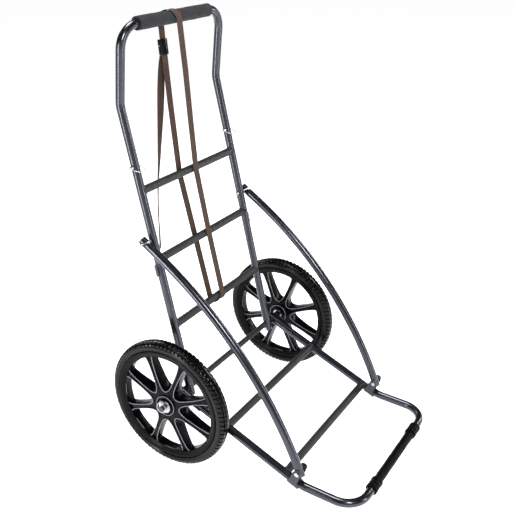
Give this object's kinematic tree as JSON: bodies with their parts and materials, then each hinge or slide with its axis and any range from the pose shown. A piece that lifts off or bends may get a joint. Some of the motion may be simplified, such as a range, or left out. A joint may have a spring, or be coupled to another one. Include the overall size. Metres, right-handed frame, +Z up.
{
  "type": "game cart",
  "caption": "Two-wheeled folding game cart with a ladder back, sloping nose frame, bowed side rails, moulded spoked wheels and a cinch strap.",
  "frame": {"origin": "on the ground, at the middle of the footprint's box, level with the bottoms of the tyres and the front feet", "axes": "+X across the cart to the right of a person pulling it backwards, -Y towards the nose, +Z up"},
  "size_m": [0.752, 0.832, 1.2807],
  "materials": {
    "frame_paint": "gunmetal metallic powder coat",
    "rung_paint": "gunmetal metallic powder coat",
    "bracket_paint": "satin powder coat",
    "zinc": "bright zinc plate",
    "axle_steel": "zinc-plated bar",
    "wheel_plastic": "moulded, fine grain",
    "tyre_rubber": "blocky tread, satin sidewall",
    "bushing_metal": "turned",
    "black_rubber": "matt",
    "grip_foam": "closed-cell foam",
    "webbing": "woven polyester webbing",
    "black_plastic": "moulded"
  },
  "bodies": {
    "nose_frame": {"axle": "axle_steel", "axle_sleeve": "rung_paint", "axle_spacers": "black_plastic", "hub_washers": "zinc", "lynch_pins": "zinc", "nose_tube": "frame_paint", "nose_rung_rear": "rung_paint", "nose_rung_front": "rung_paint", "gusset_left": "bracket_paint", "gusset_right": "bracket_paint", "saddle_left": "bracket_paint", "saddle_right": "bracket_paint", "pivot_pins": "zinc", "pivot_knobs": "black_plastic", "foot_left": "black_rubber", "foot_right": "black_rubber", "bar_cover": "black_rubber"},
    "back_frame": {"lower_upright_left": "frame_paint", "lower_upright_right": "frame_paint", "lower_spigots": "bracket_paint", "rung_low": "rung_paint", "rung_middle": "rung_paint", "mid_upright_left": "frame_paint", "mid_upright_right": "frame_paint", "mid_spigots": "bracket_paint", "rung_top": "rung_paint", "handle_loop": "frame_paint", "grip": "grip_foam", "strap_eyes": "bracket_paint", "end_bolts": "zinc", "strap_loop": "webbing", "strap_tail": "webbing", "buckle_body": "black_plastic", "buckle_rods": "zinc"},
    "cam_lever": {"buckle_lever": "zinc"},
    "rail_left": {"side_rail_left": "frame_paint"},
    "rail_right": {"side_rail_right": "frame_paint"},
    "wheel_l": {"wheel_left": "wheel_plastic", "tyre_left": "tyre_rubber", "bushings_left": "bushing_metal"},
    "wheel_r": {"wheel_right": "wheel_plastic", "tyre_right": "tyre_rubber", "bushings_right": "bushing_metal"},
    "pin_upper_l": {"upper_pin_left": "zinc", "upper_bail_left": "zinc"},
    "pin_upper_r": {"upper_pin_right": "zinc", "upper_bail_right": "zinc"},
    "pin_lower_l": {"lower_pin_left": "zinc", "pull_ring_left": "zinc"},
    "pin_lower_r": {"lower_pin_right": "zinc", "pull_ring_right": "zinc"}
  },
  "joints": [
    {"name": "back_fold", "type": "hinge", "parent": "nose_frame", "child": "back_frame", "pos_m": [0, 0.2, 0.203], "axis": [1, 0, 0], "range_deg": [0, 105]},
    {"name": "rail_left_fold", "type": "hinge", "parent": "nose_frame", "child": "rail_left", "pos_m": [-0.268, -0.20488, 0.07308], "axis": [1, 0, 0], "range_deg": [-34.5, 0]},
    {"name": "rail_right_fold", "type": "hinge", "parent": "nose_frame", "child": "rail_right", "pos_m": [0.268, -0.20488, 0.07308], "axis": [1, 0, 0], "range_deg": [-34.5, 0]},
    {"name": "wheel_left_spin", "type": "hinge", "parent": "nose_frame", "child": "wheel_l", "pos_m": [-0.332, 0.2, 0.203], "axis": [1, 0, 0], "continuous": true},
    {"name": "wheel_right_spin", "type": "hinge", "parent": "nose_frame", "child": "wheel_r", "pos_m": [0.332, 0.2, 0.203], "axis": [1, 0, 0], "continuous": true},
    {"name": "upper_pin_left_pull", "type": "slide", "parent": "back_frame", "child": "pin_upper_l", "axis": [-1, 0, 0], "range_m": [0, 0.045], "deforming": ["upper_bail_left"]},
    {"name": "upper_pin_right_pull", "type": "slide", "parent": "back_frame", "child": "pin_upper_r", "axis": [-1, 0, 0], "range_m": [0, 0.045], "deforming": ["upper_bail_right"]},
    {"name": "lower_pin_left_pull", "type": "slide", "parent": "back_frame", "child": "pin_lower_l", "axis": [-1, 0, 0], "range_m": [0, 0.085]},
    {"name": "lower_pin_right_pull", "type": "slide", "parent": "back_frame", "child": "pin_lower_r", "axis": [-1, 0, 0], "range_m": [0, 0.085]},
    {"name": "cam_lever_lift", "type": "hinge", "parent": "back_frame", "child": "cam_lever", "pos_m": [-0.04, 0.3874, 1.18166], "axis": [1, 0, 0], "range_deg": [0, 55]}
  ],
  "couplings": [
    {"joint": "rail_left_fold", "follows": "back_fold", "ratio": -0.32381},
    {"joint": "rail_right_fold", "follows": "back_fold", "ratio": -0.32381}
  ]
}
